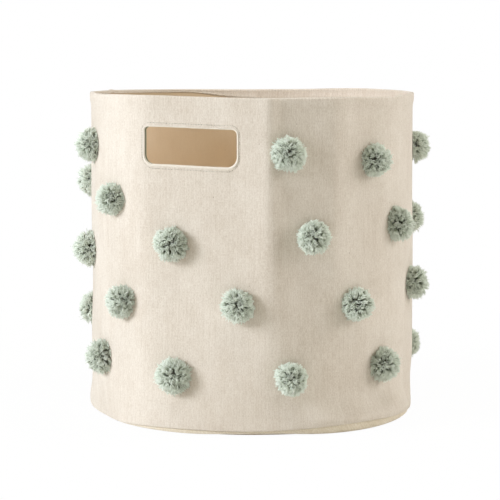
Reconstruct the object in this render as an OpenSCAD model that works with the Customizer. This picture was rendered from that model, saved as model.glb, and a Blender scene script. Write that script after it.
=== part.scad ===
// Round fabric storage bin: stiffened canvas tube, sewn base, two cut-out handles
// and rows of yarn pompoms tied through the outer canvas.
// Millimetres, +Z up. The origin is the centre of the base's underside.
// Azimuth 0 is the front (-Y) handle, and azimuths grow towards +X.

/* [Bin] */
// Outside diameter of the canvas wall
bin_d = 330; // [280:5:400]
// Height from the floor to the rim
bin_h = 322; // [280:2:380]

/* [Plies] */
// Thickness of the outer canvas
canvas_t = 1.0; // [0.8:0.1:1.6]
// Thickness of the foam core between canvas and lining
core_t = 1.5; // [1.4:0.1:3]
// Thickness of the lining cloth
lining_t = 0.7; // [0.5:0.1:1.2]

/* [Rim] */
// Depth of the canvas hem turned in over the rim
hem_drop = 9.5; // [6:0.5:12]
// Height of the understitching above the hem's lower edge
hem_stitch_rise = 1.5; // [1:0.5:3]

/* [Base] */
// Height of the seam that joins wall and base
seam_z = 5; // [4.5:0.5:8]
// How far the base's rolled edge is set in from the wall
base_inset = 2; // [1:0.5:4]
// Width of the seam allowance turned inwards
allowance_w = 12; // [8:1:16]
// Radius of the wall's bottom edge where it turns in
turn_r = 2; // [2:0.5:4]

/* [Handles] */
// Straight width of the window
handle_w = 97; // [75:1:110]
// Height of the window
handle_h = 37; // [28:1:44]
// Corner radius of the window
handle_r = 9; // [5:1:12]
// Distance from the rim down to the window
handle_drop = 27; // [26:1:40]
// Thickness of the facing that lines the window
facing_t = 1.0; // [0.6:0.1:1.4]
// Width of the facing on the inside of the bin
facing_w = 11; // [8:1:13]
// How far the facing's lip stands out of the canvas
lip_proud = 0.5; // [0.3:0.1:1]
// Distance from the window's edge to the line of stitches
stitch_inset = 3.5; // [3:0.5:6]

/* [Thread] */
// Thickness of the sewing thread
thread_d = 0.6; // [0.4:0.1:0.9]
// Azimuth of the seam that closes the wall
side_seam_az = -93; // [-95:1:-91]
// Spacing of the two lines of stitches on that seam
side_seam_w = 7; // [5:1:9]

/* [Pompoms] */
// Diameter of a pompom
pom_d = 34; // [26:1:36]
// Distance from the wall to a pompom's centre
pom_seat = 4; // [3:1:8]
// Thickness of the tie that holds a pompom
tie_d = 1.5; // [1:0.1:2]
// Diameter of the knot behind the canvas
knot_d = 5; // [4:0.5:7]
// Thickness of that knot
knot_t = 1.0; // [0.6:0.1:1.2]

/* [Hidden] */
$fn = 96;
// Overlap that makes a cut pass clear of a face
cut = 1;
// Clearance between a thread and the cloth beside it
thread_fit = 0.05;

// Radii of the plies, from outside to inside
bin_r = bin_d / 2;
core_r = bin_r - canvas_t;
lining_r = core_r - core_t;
inside_r = lining_r - lining_t;
hem_r = lining_r - canvas_t;
// Radius of the rounded rim, which goes over both layers of canvas and the core
rim_r = (bin_r - hem_r) / 2;

// Base: the panel's rolled edge, the allowances above it and the board inside it
base_r = bin_r - base_inset;
roll_r = seam_z / 2;
allowance_r = base_r - roll_r - allowance_w;
floor_z = seam_z + canvas_t;
board_top = seam_z - canvas_t;

// Height of the middle of the windows
handle_z = bin_h - handle_drop - handle_h / 2;
// Azimuths of the two windows
handle_azimuths = [0, 180];

// Sewing plan of the pompoms, in rows from top to bottom: the azimuth of each, and
// its height as a share of the bin's
pom_azimuths = [
    [-147, -114, -51.5, 33.9, 67.6, 114, 149],
    [-158, -119, -78, -32.8, -7.6, 42.2, 81.5, 123, 165],
    [-139, -105, -58, -28, 16.9, 58.6, 98, 143, -178],
    [-160, -122, -79, -42, -6, 34.5, 72.3, 126, 162]
];
pom_height_shares = [
    [0.83, 0.815, 0.847, 0.84, 0.812, 0.835, 0.82],
    [0.61, 0.63, 0.72, 0.69, 0.568, 0.594, 0.611, 0.599, 0.6],
    [0.41, 0.45, 0.518, 0.382, 0.3925, 0.385, 0.4135, 0.4, 0.385],
    [0.19, 0.175, 0.301, 0.1975, 0.172, 0.174, 0.187, 0.178, 0.18]
];
row_letters = ["a", "b", "c", "d"];
pom_names = [
    for (row = [0 : len(row_letters) - 1])
        for (place = [0 : len(pom_azimuths[row]) - 1])
            str("pompom_", row_letters[row], place + 1)
];
// Each pompom as [azimuth, height]
poms = [
    for (row = [0 : len(row_letters) - 1])
        for (place = [0 : len(pom_azimuths[row]) - 1])
            [pom_azimuths[row][place], pom_height_shares[row][place] * bin_h]
];

// Colours of the cloths, the thread and the yarn
canvas_colour = "#e6dccd";
lining_colour = "#dccdb4";
core_colour = "#f2f0ea";
board_colour = "#a98f6c";
thread_colour = "#efe8da";
yarn_colour = "#a3b8a4";

// ---- Shapes that several pieces share ----

// A tube between two radii and two heights
module tube(outer, inner, low, high) {
    rotate_extrude()
        translate([inner, low])
            square([outer - inner, high - low]);
}

// A ring of thread
module thread_ring(radius, height) {
    rotate_extrude()
        translate([radius, height])
            circle(d = thread_d, $fn = 24);
}

// A rectangle with round corners, about the origin
module round_rectangle(w, h, r) {
    square([w - 2 * r, h], center = true);
    square([w, h - 2 * r], center = true);
    for (x = [-1, 1], y = [-1, 1])
        translate([x * (w / 2 - r), y * (h / 2 - r)])
            circle(r);
}

// The window's outline grown by a margin, and run radially through the wall
module window_prism(azimuth, margin) {
    rotate([0, 0, azimuth])
        translate([0, -bin_r / 2, handle_z])
            rotate([90, 0, 0])
                linear_extrude(bin_r)
                    round_rectangle(handle_w + 2 * margin, handle_h + 2 * margin,
                                    handle_r + margin);
}

// What lies between two outlines of the window, within a tube
module window_frame(azimuth, outer_margin, inner_margin, outer, inner) {
    reach = outer_margin + cut;
    intersection() {
        tube(outer, inner, handle_z - handle_h / 2 - reach, handle_z + handle_h / 2 + reach);
        difference() {
            window_prism(azimuth, outer_margin);
            window_prism(azimuth, inner_margin);
        }
    }
}

// Both windows, cut wide enough for their facings
module window_cuts() {
    for (azimuth = handle_azimuths)
        window_prism(azimuth, facing_t);
}

// Puts its children at a pompom's place, with -Y pointing out of the wall
module at_pom(pom) {
    rotate([0, 0, pom[0]])
        translate([0, 0, pom[1]])
            children();
}

// A round bar that lies along -Y between two distances from the axis
module radial_bar(d, near, far) {
    translate([0, -near, 0])
        rotate([90, 0, 0])
            cylinder(d = d, h = far - near, $fn = 32);
}

// ---- Wall ----

// Half of the outer canvas's section: wall, hem turned in over the rim, and
// seam allowance turned in at the bottom
module outer_wall_profile() {
    difference() {
        union() {
            translate([hem_r, bin_h - hem_drop])
                square([bin_r - hem_r, hem_drop - rim_r]);
            translate([hem_r + rim_r, bin_h - rim_r])
                circle(rim_r, $fn = 48);
        }
        translate([lining_r, bin_h - hem_drop - cut])
            square([core_t, hem_drop - canvas_t + cut]);
    }
    translate([core_r, seam_z + turn_r])
        square([canvas_t, bin_h - hem_drop - seam_z - turn_r]);
    translate([bin_r - turn_r, seam_z + turn_r])
        intersection() {
            difference() {
                circle(turn_r, $fn = 48);
                circle(turn_r - canvas_t, $fn = 48);
            }
            translate([0, -turn_r])
                square([turn_r, turn_r]);
        }
    translate([allowance_r, seam_z])
        square([bin_r - turn_r - allowance_r, canvas_t]);
}

module outer_wall() {
    color(canvas_colour)
        difference() {
            rotate_extrude()
                outer_wall_profile();
            window_cuts();
            for (pom = poms)
                at_pom(pom)
                    radial_bar(tie_d, core_r - cut, bin_r + cut);
        }
}

module wall_core() {
    color(core_colour)
        difference() {
            tube(core_r, lining_r, seam_z + turn_r, bin_h - canvas_t);
            window_cuts();
            for (pom = poms)
                at_pom(pom)
                    radial_bar(knot_d, knot_face() - knot_t, core_r + cut);
        }
}

module lining_wall() {
    color(lining_colour)
        difference() {
            tube(lining_r, inside_r, floor_z, bin_h - hem_drop);
            window_cuts();
        }
}

module rim_stitching() {
    color(thread_colour)
        thread_ring(hem_r - thread_d / 2, bin_h - hem_drop + hem_stitch_rise);
}

module side_seam_stitching() {
    spread = asin(side_seam_w / 2 / bin_r);
    color(thread_colour)
        for (side = [-1, 1])
            rotate([0, 0, side_seam_az + side * spread])
                translate([0, -bin_r - thread_d / 2, seam_z + turn_r])
                    cylinder(d = thread_d, h = bin_h - rim_r - seam_z - turn_r, $fn = 24);
}

// ---- Base ----

// A disc's half section with a fully rounded edge
module rolled_disc(r, low, high) {
    edge = (high - low) / 2;
    translate([0, low])
        square([r - edge, high - low]);
    intersection() {
        translate([r - edge, low + edge])
            circle(edge, $fn = 48);
        translate([r - edge, low])
            square([edge, high - low]);
    }
}

// The base panel's edge rolls up and turns in under the wall's allowance
module base_panel() {
    color(canvas_colour)
        rotate_extrude()
            difference() {
                rolled_disc(base_r, 0, seam_z);
                rolled_disc(base_r - canvas_t, canvas_t, board_top);
                translate([0, board_top - cut])
                    square([allowance_r, canvas_t + 2 * cut]);
            }
}

module base_board() {
    color(board_colour)
        translate([0, 0, canvas_t])
            cylinder(r = base_r - roll_r, h = board_top - canvas_t);
}

// The lining lies on the board and steps up over the seam allowances
module lining_base() {
    step = floor_z - board_top;
    low_r = allowance_r - step;
    color(lining_colour)
        rotate_extrude()
            polygon([
                [0, board_top], [low_r - step, board_top], [low_r, floor_z],
                [inside_r, floor_z], [inside_r, floor_z + lining_t],
                [low_r - lining_t / 2, floor_z + lining_t],
                [low_r - step - lining_t / 2, board_top + lining_t], [0, board_top + lining_t]
            ]);
}

// The thread lies in the groove between the rolled edge and the wall's turned edge
module base_seam_stitching() {
    thread_z = seam_z - thread_d / 2;
    reach = roll_r + thread_d / 2 + thread_fit;
    groove_r = base_r - roll_r + sqrt(pow(reach, 2) - pow(thread_z - roll_r, 2));
    color(thread_colour)
        thread_ring(groove_r, thread_z);
}

// ---- Handles ----

// A sleeve through the wall with a flat border on the lining
module handle_facing(azimuth) {
    color(canvas_colour) {
        window_frame(azimuth, facing_t, 0, bin_r + lip_proud, inside_r);
        window_frame(azimuth, facing_w, 0, inside_r, inside_r - facing_t);
    }
}

// One loop of thread outside, and the loop below it on the inner border
module handle_stitching(azimuth) {
    near = stitch_inset - thread_d / 2;
    far = stitch_inset + thread_d / 2;
    border_r = inside_r - facing_t;
    color(thread_colour) {
        window_frame(azimuth, far, near, bin_r + thread_d, bin_r);
        window_frame(azimuth, far, near, border_r, border_r - thread_d);
    }
}

// ---- Pompoms ----

// Distance from the axis to the outer face of a knot, which is flat against
// the hollow side of the canvas
function knot_face() = sqrt(pow(core_r, 2) - pow(knot_d / 2, 2));

// The ball of yarn, flattened where it is pulled against the canvas
module pompom(pom) {
    color(yarn_colour)
        at_pom(pom)
            translate([0, -bin_r - pom_seat, 0])
                rotate([90, 0, 0])
                    rotate_extrude()
                        intersection() {
                            circle(d = pom_d);
                            translate([0, -pom_seat])
                                square([pom_d, pom_d]);
                        }
}

// Each tie runs from the pompom through the canvas to its knot
module pompom_ties() {
    color(yarn_colour)
        for (pom = poms)
            at_pom(pom) {
                radial_bar(tie_d, knot_face(), bin_r);
                radial_bar(knot_d, knot_face() - knot_t, knot_face());
            }
}

outer_wall();
wall_core();
lining_wall();
rim_stitching();
base_panel();
base_board();
lining_base();
base_seam_stitching();
handle_facing(handle_azimuths[0]);  // handle_facing_front
handle_facing(handle_azimuths[1]);  // handle_facing_back
handle_stitching(handle_azimuths[0]);  // handle_stitching_front
handle_stitching(handle_azimuths[1]);  // handle_stitching_back
side_seam_stitching();
pompom_ties();
for (i = [0 : len(poms) - 1])
    pompom(poms[i]);
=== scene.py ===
"""Looks of a round fabric storage bin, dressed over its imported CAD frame.

The bin is a tube of canvas over a felt core, lined, with a sewn base, two faced
hand holes and rows of yarn pompoms tied through the canvas. Everything is in
metres in the row frame: +Z up, the front hand hole towards -Y, and azimuth 0 at
that hole, growing towards +X. The wall is worked out laid flat: u is the arc
length round it, z the height, and depth the distance in from the canvas's face.
"""

import logging
import math
from dataclasses import dataclass, replace
from enum import Enum
from typing import Callable, Sequence

import bpy
import numpy as np
from bpy.types import Material, Node, NodeSocket, NodeTree, Object
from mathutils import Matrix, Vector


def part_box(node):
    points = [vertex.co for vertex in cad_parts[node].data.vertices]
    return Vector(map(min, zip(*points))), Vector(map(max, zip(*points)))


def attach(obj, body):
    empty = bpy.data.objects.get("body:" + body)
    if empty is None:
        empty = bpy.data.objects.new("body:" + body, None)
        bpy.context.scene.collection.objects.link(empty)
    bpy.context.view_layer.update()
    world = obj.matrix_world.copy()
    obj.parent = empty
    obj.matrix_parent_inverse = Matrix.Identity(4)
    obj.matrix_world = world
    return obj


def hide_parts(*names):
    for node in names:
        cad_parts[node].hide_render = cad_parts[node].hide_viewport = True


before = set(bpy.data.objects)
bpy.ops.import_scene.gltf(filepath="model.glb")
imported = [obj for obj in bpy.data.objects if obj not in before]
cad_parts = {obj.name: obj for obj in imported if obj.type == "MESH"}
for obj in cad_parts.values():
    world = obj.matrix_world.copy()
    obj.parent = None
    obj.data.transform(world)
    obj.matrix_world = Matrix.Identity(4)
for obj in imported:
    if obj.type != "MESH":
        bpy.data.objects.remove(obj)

MM = 0.001
# Air left between plies that only touch, so that neither shows through the other.
AIR = 0.15 * MM
LOG = logging.getLogger("fabric_storage_bin")
Array = np.ndarray
# Widths on the left, on the right, above and below.
Margins = tuple[float, float, float, float]


class Body(Enum):
    """Rigid bodies of the frame."""

    ROOT = "root"


class Slot(Enum):
    """Material slots of the record."""

    CANVAS = "canvas"
    FACING = "facing"
    LINING = "lining"
    FELT = "felt"
    BOARD = "board"
    THREAD = "thread"
    YARN = "yarn"


class Held(Enum):
    """How a sheet of cloth is held."""

    STRETCHED = "stretched"
    LAID = "laid"
    FOLDED = "folded"


class Side(Enum):
    """The two hand holes, by their azimuth in degrees."""

    FRONT = 0.0
    BACK = 180.0


# ---- small maths


def smooth(x: Array) -> Array:
    """Smoothstep of x: 0 below 0, 1 above 1, and 3x^2 - 2x^3 between."""
    t = np.clip(x, 0.0, 1.0)
    return t * t * (3.0 - 2.0 * t)


def bell(x: Array, middle: float, width: float) -> Array:
    """A bell of height 1: exp(-((x - middle) / width)^2)."""
    return np.exp(-(((x - middle) / width) ** 2))


def wrapped(u: Array, girth: float) -> Array:
    """Arc lengths brought into half a turn either way of 0."""
    return (u + girth / 2) % girth - girth / 2


def unit(vectors: Array) -> Array:
    """Vectors along the last axis, each divided by its length."""
    return vectors / np.maximum(np.linalg.norm(vectors, axis=-1, keepdims=True), 1e-12)


def across(directions: Array) -> tuple[Array, Array]:
    """Two unit vectors square to each direction and to each other.

    Args:
        directions: unit vectors, shape (..., 3).

    Returns:
        The pair: helper axis cross direction, and direction cross that.
    """
    helper = np.where(np.abs(directions[..., 2:3]) < 0.9, [0.0, 0.0, 1.0], [1.0, 0.0, 0.0])
    first = unit(np.cross(helper, directions))
    return first, np.cross(directions, first)


# ---- mesh pieces


def placed(name: str, data: bpy.types.ID) -> Object:
    """A new object with a mesh, lamp or camera, linked to the scene.

    Args:
        name: the object's name.
        data: what it shows.

    Returns:
        The object.
    """
    thing = bpy.data.objects.new(name, data)
    bpy.context.scene.collection.objects.link(thing)
    return thing


def round_quads(index: Array) -> Array:
    """Quads of a grid of point numbers (columns, rows) that closes round its columns."""
    after = np.roll(index, -1, axis=0)
    return np.stack([index[:, :-1], index[:, 1:], after[:, 1:], after[:, :-1]], -1)


@dataclass
class Quads:
    """A mesh in the making: points, faces and each point's cloth coordinates."""

    points: Array
    faces: list[Array]
    cloth: Array | None = None
    wrap: float = 0.0

    @classmethod
    def merged(cls, parts: Sequence["Quads"]) -> "Quads":
        """Several meshes as one, their points kept apart.

        Args:
            parts: the meshes, which all have cloth coordinates.

        Returns:
            The one mesh.
        """
        shifts = np.cumsum([0] + [len(part.points) for part in parts])
        faces = [f + shift for part, shift in zip(parts, shifts) for f in part.faces]
        return cls(np.concatenate([part.points for part in parts]), faces,
                   np.concatenate([part.cloth for part in parts]))

    def piece(self, name: str) -> Object:
        """The finished Blender object, at the origin, smooth, with its cloth UV map.

        Args:
            name: the object's name.

        Returns:
            The object, linked to the scene.
        """
        mesh = bpy.data.meshes.new(name)
        mesh.vertices.add(len(self.points))
        mesh.vertices.foreach_set("co", self.points.astype(np.float32).ravel())
        corners = np.concatenate([f.ravel() for f in self.faces])
        sizes = np.concatenate([np.full(len(f), f.shape[1]) for f in self.faces])
        mesh.loops.add(len(corners))
        mesh.loops.foreach_set("vertex_index", corners.astype(np.int32))
        mesh.polygons.add(len(sizes))
        starts = np.concatenate([[0], np.cumsum(sizes)[:-1]])
        mesh.polygons.foreach_set("loop_start", starts.astype(np.int32))
        mesh.update(calc_edges=True)
        if self.cloth is not None:
            layer = mesh.uv_layers.new(name="cloth")
            layer.data.foreach_set("uv", self._corner_cloth().astype(np.float32).ravel())
        mesh.polygons.foreach_set("use_smooth", np.ones(len(sizes), bool))
        mesh.validate()
        return placed(name, mesh)

    def _corner_cloth(self) -> Array:
        """Cloth coordinates of the face corners, carried on past the closing column.

        Returns:
            One (u, v) for each corner, in the order of the faces.
        """
        parts = []
        for faces in self.faces:
            uv = self.cloth[faces].copy()
            if self.wrap:
                u = uv[..., 0]
                crossing = (u.max(1) - u.min(1)) > self.wrap / 2
                late = crossing[:, None] & (u < self.wrap / 2 + u.min())
                uv[..., 0] = np.where(late, u + self.wrap, u)
            parts.append(uv.reshape(-1, 2))
        return np.concatenate(parts)


def tubes(centres: Array, radii: Array, sides: int, first: Array, second: Array,
          cloth: Array) -> Quads:
    """Many closed tubes at once.

    Each ring is centre + radius (cos a first + sin a second), a going round in
    equal steps, and the first and last ring close on their own centres.

    Args:
        centres: ring centres, shape (tubes, rings, 3).
        radii: ring radii, shape (tubes, rings).
        sides: corners of a ring.
        first: unit vector across each ring, shape (tubes, rings, 3).
        second: the other unit vector across it.
        cloth: UV of each ring, shape (tubes, rings, 2).

    Returns:
        The tubes as one mesh.
    """
    count, rings = radii.shape
    angle = np.arange(sides) * (2 * math.pi / sides)
    ring = (
        centres[:, :, None, :]
        + radii[:, :, None, None] * (
            np.cos(angle)[None, None, :, None] * first[:, :, None, :]
            + np.sin(angle)[None, None, :, None] * second[:, :, None, :]
        )
    )
    along = rings * sides
    per = along + 2
    ends = centres[:, [0, -1], :]
    points = np.concatenate([ring.reshape(count, along, 3), ends], axis=1).reshape(-1, 3)
    side = np.arange(sides)
    after = (side + 1) % sides
    row = np.arange(rings - 1)[:, None] * sides
    quads = np.stack([row + side, row + after, row + sides + after, row + sides + side], -1)
    root = np.stack([np.full(sides, along), after, side], -1)
    last = (rings - 1) * sides
    tip = np.stack([np.full(sides, along + 1), last + side, last + after], -1)
    base = (np.arange(count) * per)[:, None, None]
    faces = [
        (quads.reshape(1, -1, 4) + base).reshape(-1, 4),
        (np.concatenate([root, tip])[None] + base).reshape(-1, 3),
    ]
    ring_uv = np.repeat(cloth[:, :, None, :], sides, axis=2).reshape(count, along, 2)
    uv = np.concatenate([ring_uv, cloth[:, [0, -1], :]], axis=1).reshape(-1, 2)
    return Quads(points, faces, uv)


# ---- sizes


@dataclass(frozen=True)
class Sizes:
    """Driving sizes of the bin, read from the boxes of its CAD solids."""

    radius: float
    height: float
    canvas: float
    core: float
    lining: float
    hem_drop: float
    hem_stitch_z: float
    seam_z: float
    base_radius: float
    board_radius: float
    board_top: float
    floor_top: float
    allowance: float = 12 * MM

    @classmethod
    def from_frame(cls) -> "Sizes":
        """The sizes, taken from the frame's boxes.

        Returns:
            The sizes, in metres.
        """
        wall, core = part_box("outer_wall"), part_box("wall_core")
        lining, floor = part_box("lining_wall"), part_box("lining_base")
        panel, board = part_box("base_panel"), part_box("base_board")
        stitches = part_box("rim_stitching")
        return cls(
            radius=wall[1].x,
            height=wall[1].z,
            canvas=wall[1].x - core[1].x,
            core=core[1].x - lining[1].x,
            lining=lining[1].x - floor[1].x,
            hem_drop=wall[1].z - lining[1].z,
            hem_stitch_z=(stitches[0].z + stitches[1].z) / 2,
            seam_z=wall[0].z,
            base_radius=panel[1].x,
            board_radius=board[1].x,
            board_top=board[1].z,
            floor_top=floor[1].z,
        )

    @property
    def girth(self) -> float:
        """Arc length once round the canvas."""
        return 2 * math.pi * self.radius

    @property
    def wall(self) -> float:
        """Thickness of canvas, core and lining together."""
        return self.canvas + self.core + self.lining

    @property
    def fold(self) -> float:
        """Radius of the canvas's half round over the rim."""
        return self.canvas + self.core / 2

    def arc(self, degrees: float) -> float:
        """Arc length at an azimuth."""
        return math.radians(degrees) * self.radius


# ---- windows


@dataclass(frozen=True)
class Window:
    """A hand hole on the flat wall: a rectangle with a radius for each corner.

    Corners go lower left, lower right, upper right, upper left, seen from outside.
    """

    u: float
    z: float
    width: float
    height: float
    corners: tuple[float, float, float, float]

    @property
    def half(self) -> Array:
        """Half width and half height."""
        return np.array([self.width / 2, self.height / 2])

    @property
    def around(self) -> float:
        """Length of the outline."""
        return 2 * (self.width + self.height) - (2 - math.pi / 2) * sum(self.corners)

    def grown(self, left: float, right: float, over: float, under: float) -> "Window":
        """The window made larger on each side."""
        corners = tuple(corner + (left + right + over + under) / 4 for corner in self.corners)
        return Window(self.u + (right - left) / 2, self.z + (over - under) / 2,
                      self.width + left + right, self.height + over + under, corners)

    def _corner(self, x: Array, y: Array) -> Array:
        """Radius of the corner in each place's quarter."""
        low = np.where(x < 0, self.corners[0], self.corners[1])
        return np.where(y < 0, low, np.where(x < 0, self.corners[3], self.corners[2]))

    def margin(self, u: Array, z: Array, girth: float) -> Array:
        """Distance out from the outline, negative inside it.

        Args:
            u: arc lengths.
            z: heights.
            girth: arc length once round.

        Returns:
            Distances, by the formula for a round-cornered rectangle.
        """
        x, y = wrapped(u - self.u, girth), z - self.z
        corner = self._corner(x, y)
        x = np.abs(x) - (self.half[0] - corner)
        y = np.abs(y) - (self.half[1] - corner)
        outside = np.hypot(np.maximum(x, 0.0), np.maximum(y, 0.0))
        return outside + np.minimum(np.maximum(x, y), 0.0) - corner

    def nearest(self, places: Array) -> Array:
        """The outline's point nearest to each place outside it.

        A place is held to the rectangle of the corners' middles, and the outline's
        point lies one corner radius out from there.

        Args:
            places: flat places, shape (n, 2).

        Returns:
            Flat places on the outline.
        """
        centre = np.array([self.u, self.z])
        offset = places - centre
        corner = self._corner(offset[:, 0], offset[:, 1])[:, None]
        held = np.clip(offset, corner - self.half, self.half - corner)
        return centre + held + unit(offset - held) * corner

    def outline(self, count: int) -> tuple[Array, Array]:
        """The outline by arc length, from the lower left.

        Args:
            count: how many points.

        Returns:
            Flat places and unit normals, both (count, 2).
        """
        corner = np.array(self.corners)
        middles = np.array([[-1, -1], [1, -1], [1, 1], [-1, 1]]) * (self.half - corner[:, None])
        turn = np.array([1, 2, 3, 0])
        sides = np.abs(middles[turn] - middles)[np.arange(4), [0, 1, 0, 1]]
        lengths = np.stack([sides, math.pi / 2 * corner[turn]], -1).ravel()
        edge = np.concatenate([[0.0], np.cumsum(lengths)])
        s = np.linspace(0, edge[-1], count, endpoint=False)
        part = np.searchsorted(edge, s, side="right") - 1
        t = (s - edge[part]) / lengths[part]
        side, straight = part // 2, part % 2 == 0
        angle = math.pi / 2 * (side - 1 + np.where(straight, 0.0, t))
        normal = np.stack([np.cos(angle), np.sin(angle)], -1)
        share = np.where(straight, t, 1.0)[:, None]
        middle = middles[side] + (middles[turn[side]] - middles[side]) * share
        radius = corner[side, None] + (corner[turn[side]] - corner[side])[:, None] * share
        return np.array([self.u, self.z]) + middle + normal * radius, normal


# ---- wall's form


@dataclass(frozen=True)
class Fold:
    """A soft fold down the wall, which fades in from a low height to a full one.

    Its swell is out of the wall, or in if negative, and its crest is rounded.
    """

    azimuth: float
    low: float
    full: float
    swell: float
    crest: float
    reach_left: float
    reach_right: float
    lean: float = 0.0

    def offset(self, sizes: Sizes, u: Array, z: Array) -> Array:
        """Radial offset: swell exp(-(hypot(x, crest) - crest) / reach), faded below.

        Args:
            sizes: the bin's sizes.
            u: arc lengths.
            z: heights.

        Returns:
            The offsets, in metres.
        """
        x = wrapped(u - sizes.arc(self.azimuth) - self.lean * (sizes.height - z), sizes.girth)
        reach = np.where(x < 0, self.reach_left, self.reach_right)
        flank = np.exp(-(np.hypot(x, self.crest) - self.crest) / reach)
        return self.swell * flank * smooth((z - self.low) / (self.full - self.low))


@dataclass(frozen=True)
class Flat:
    """A flattened stretch of wall between two soft upright bends."""

    azimuth: float
    half: float
    rise: float
    reach: float
    low: float
    full: float
    flatness: float = 1.0
    dent: float = 0.0
    step: float = 8 * MM
    soften: float = 2.0 * MM
    widen: float = 0.0
    ease: float = 0.0
    eased_at: float = 0.150
    eased_over: float = 0.120

    def offset(self, sizes: Sizes, u: Array, z: Array) -> Array:
        """Radial offset of the flat and of the swell beside it.

        Between the bends it is a share of the chord, R cos h / cos x - R, plus the
        rise, less a dent that is full one step from the left bend and nothing at
        the right one. Further down that step gets 1 + widen times as wide, and the
        dent shallower by the share ease. Beyond the bends the rise fades as
        exp(-distance / reach). Five samples spread either way are averaged, which
        rounds both bends.

        Args:
            sizes: the bin's sizes.
            u: arc lengths.
            z: heights.

        Returns:
            The offsets, in metres.
        """
        half = math.radians(self.half)
        lower = 1 - smooth((z - self.eased_at) / self.eased_over)
        step = self.step * (1 + self.widen * lower)
        dent = self.dent * (1 - self.ease * lower)
        total = np.zeros(np.broadcast(u, z).shape)
        shifts = (-2.0, -1.0, 0.0, 1.0, 2.0)
        for shift in shifts:
            x = wrapped(u - sizes.arc(self.azimuth) + shift * self.soften, sizes.girth)
            share = np.clip(0.5 + x / (2 * half * sizes.radius), 0.0, 1.0)
            fall = smooth(share * 2 * half * sizes.radius / step)
            x = np.abs(x) / sizes.radius
            chord = sizes.radius * (math.cos(half) / np.cos(np.minimum(x, half)) - 1.0)
            total += self.flatness * chord - dent * fall * (1.0 - share)
            total += self.rise * np.exp(-np.maximum(x - half, 0.0) * sizes.radius / self.reach)
        return total / len(shifts) * smooth((z - self.low) / (self.full - self.low))


@dataclass(frozen=True)
class Wander:
    """A height in millimetres that wanders round the bin, given at equal steps from the front."""

    heights: tuple[float, ...]

    def at(self, sizes: Sizes, u: Array) -> Array:
        """Heights at arc lengths, on a closed Catmull-Rom curve through the given ones.

        Args:
            sizes: the bin's sizes.
            u: arc lengths.

        Returns:
            Heights, in metres.
        """
        given = np.array(self.heights) * MM
        count = len(given)
        x = (u / sizes.girth % 1.0) * count
        i = np.floor(x).astype(int)
        t = x - i
        a, b, c, d = (given[(i + k) % count] for k in (-1, 0, 1, 2))
        return 0.5 * (2 * b + (c - a) * t + (2 * a - 5 * b + 4 * c - d) * t**2
                      + (3 * b - a - 3 * c + d) * t**3)


@dataclass(frozen=True)
class Unevenness:
    """Seeded soft bumps over the wall: a cubic B-spline through a random lattice."""

    cell_u: float
    cell_z: float
    swell: float
    seed: int
    tallest: float = 0.4

    def offset(self, sizes: Sizes, u: Array, z: Array) -> Array:
        """Value of the spline, which closes round the wall.

        Args:
            sizes: the bin's sizes.
            u: arc lengths.
            z: heights.

        Returns:
            The offsets, in metres.
        """
        around = max(4, round(sizes.girth / self.cell_u))
        upward = int(self.tallest / self.cell_z) + 5
        lattice = np.random.default_rng(self.seed).standard_normal((around, upward))
        x = (u / sizes.girth % 1.0) * around
        y = np.clip(z / self.cell_z + 1.5, 1.0, upward - 3.001)
        i, j = np.floor(x).astype(int), np.floor(y).astype(int)
        wx, wy = self._weights(x - i), self._weights(y - j)
        total = np.zeros(np.broadcast(u, z).shape)
        for a in range(4):
            for b in range(4):
                total += wx[a] * wy[b] * lattice[(i + a - 1) % around, j + b - 1]
        return self.swell * total

    @staticmethod
    def _weights(t: Array) -> tuple[Array, Array, Array, Array]:
        """The four weights of a uniform cubic B-spline."""
        return (
            (1 - t) ** 3 / 6,
            (3 * t**3 - 6 * t**2 + 4) / 6,
            (-3 * t**3 + 3 * t**2 + 3 * t + 1) / 6,
            t**3 / 6,
        )


@dataclass(frozen=True)
class Ridge:
    """A ridge along a line, or a groove where its swell is negative."""

    swell: float
    middle: float
    reach: float

    def at(self, x: Array) -> Array:
        """Its height at distances from the line: swell exp(-((x - middle) / reach)^2)."""
        return self.swell * bell(x, self.middle, self.reach)


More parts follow.
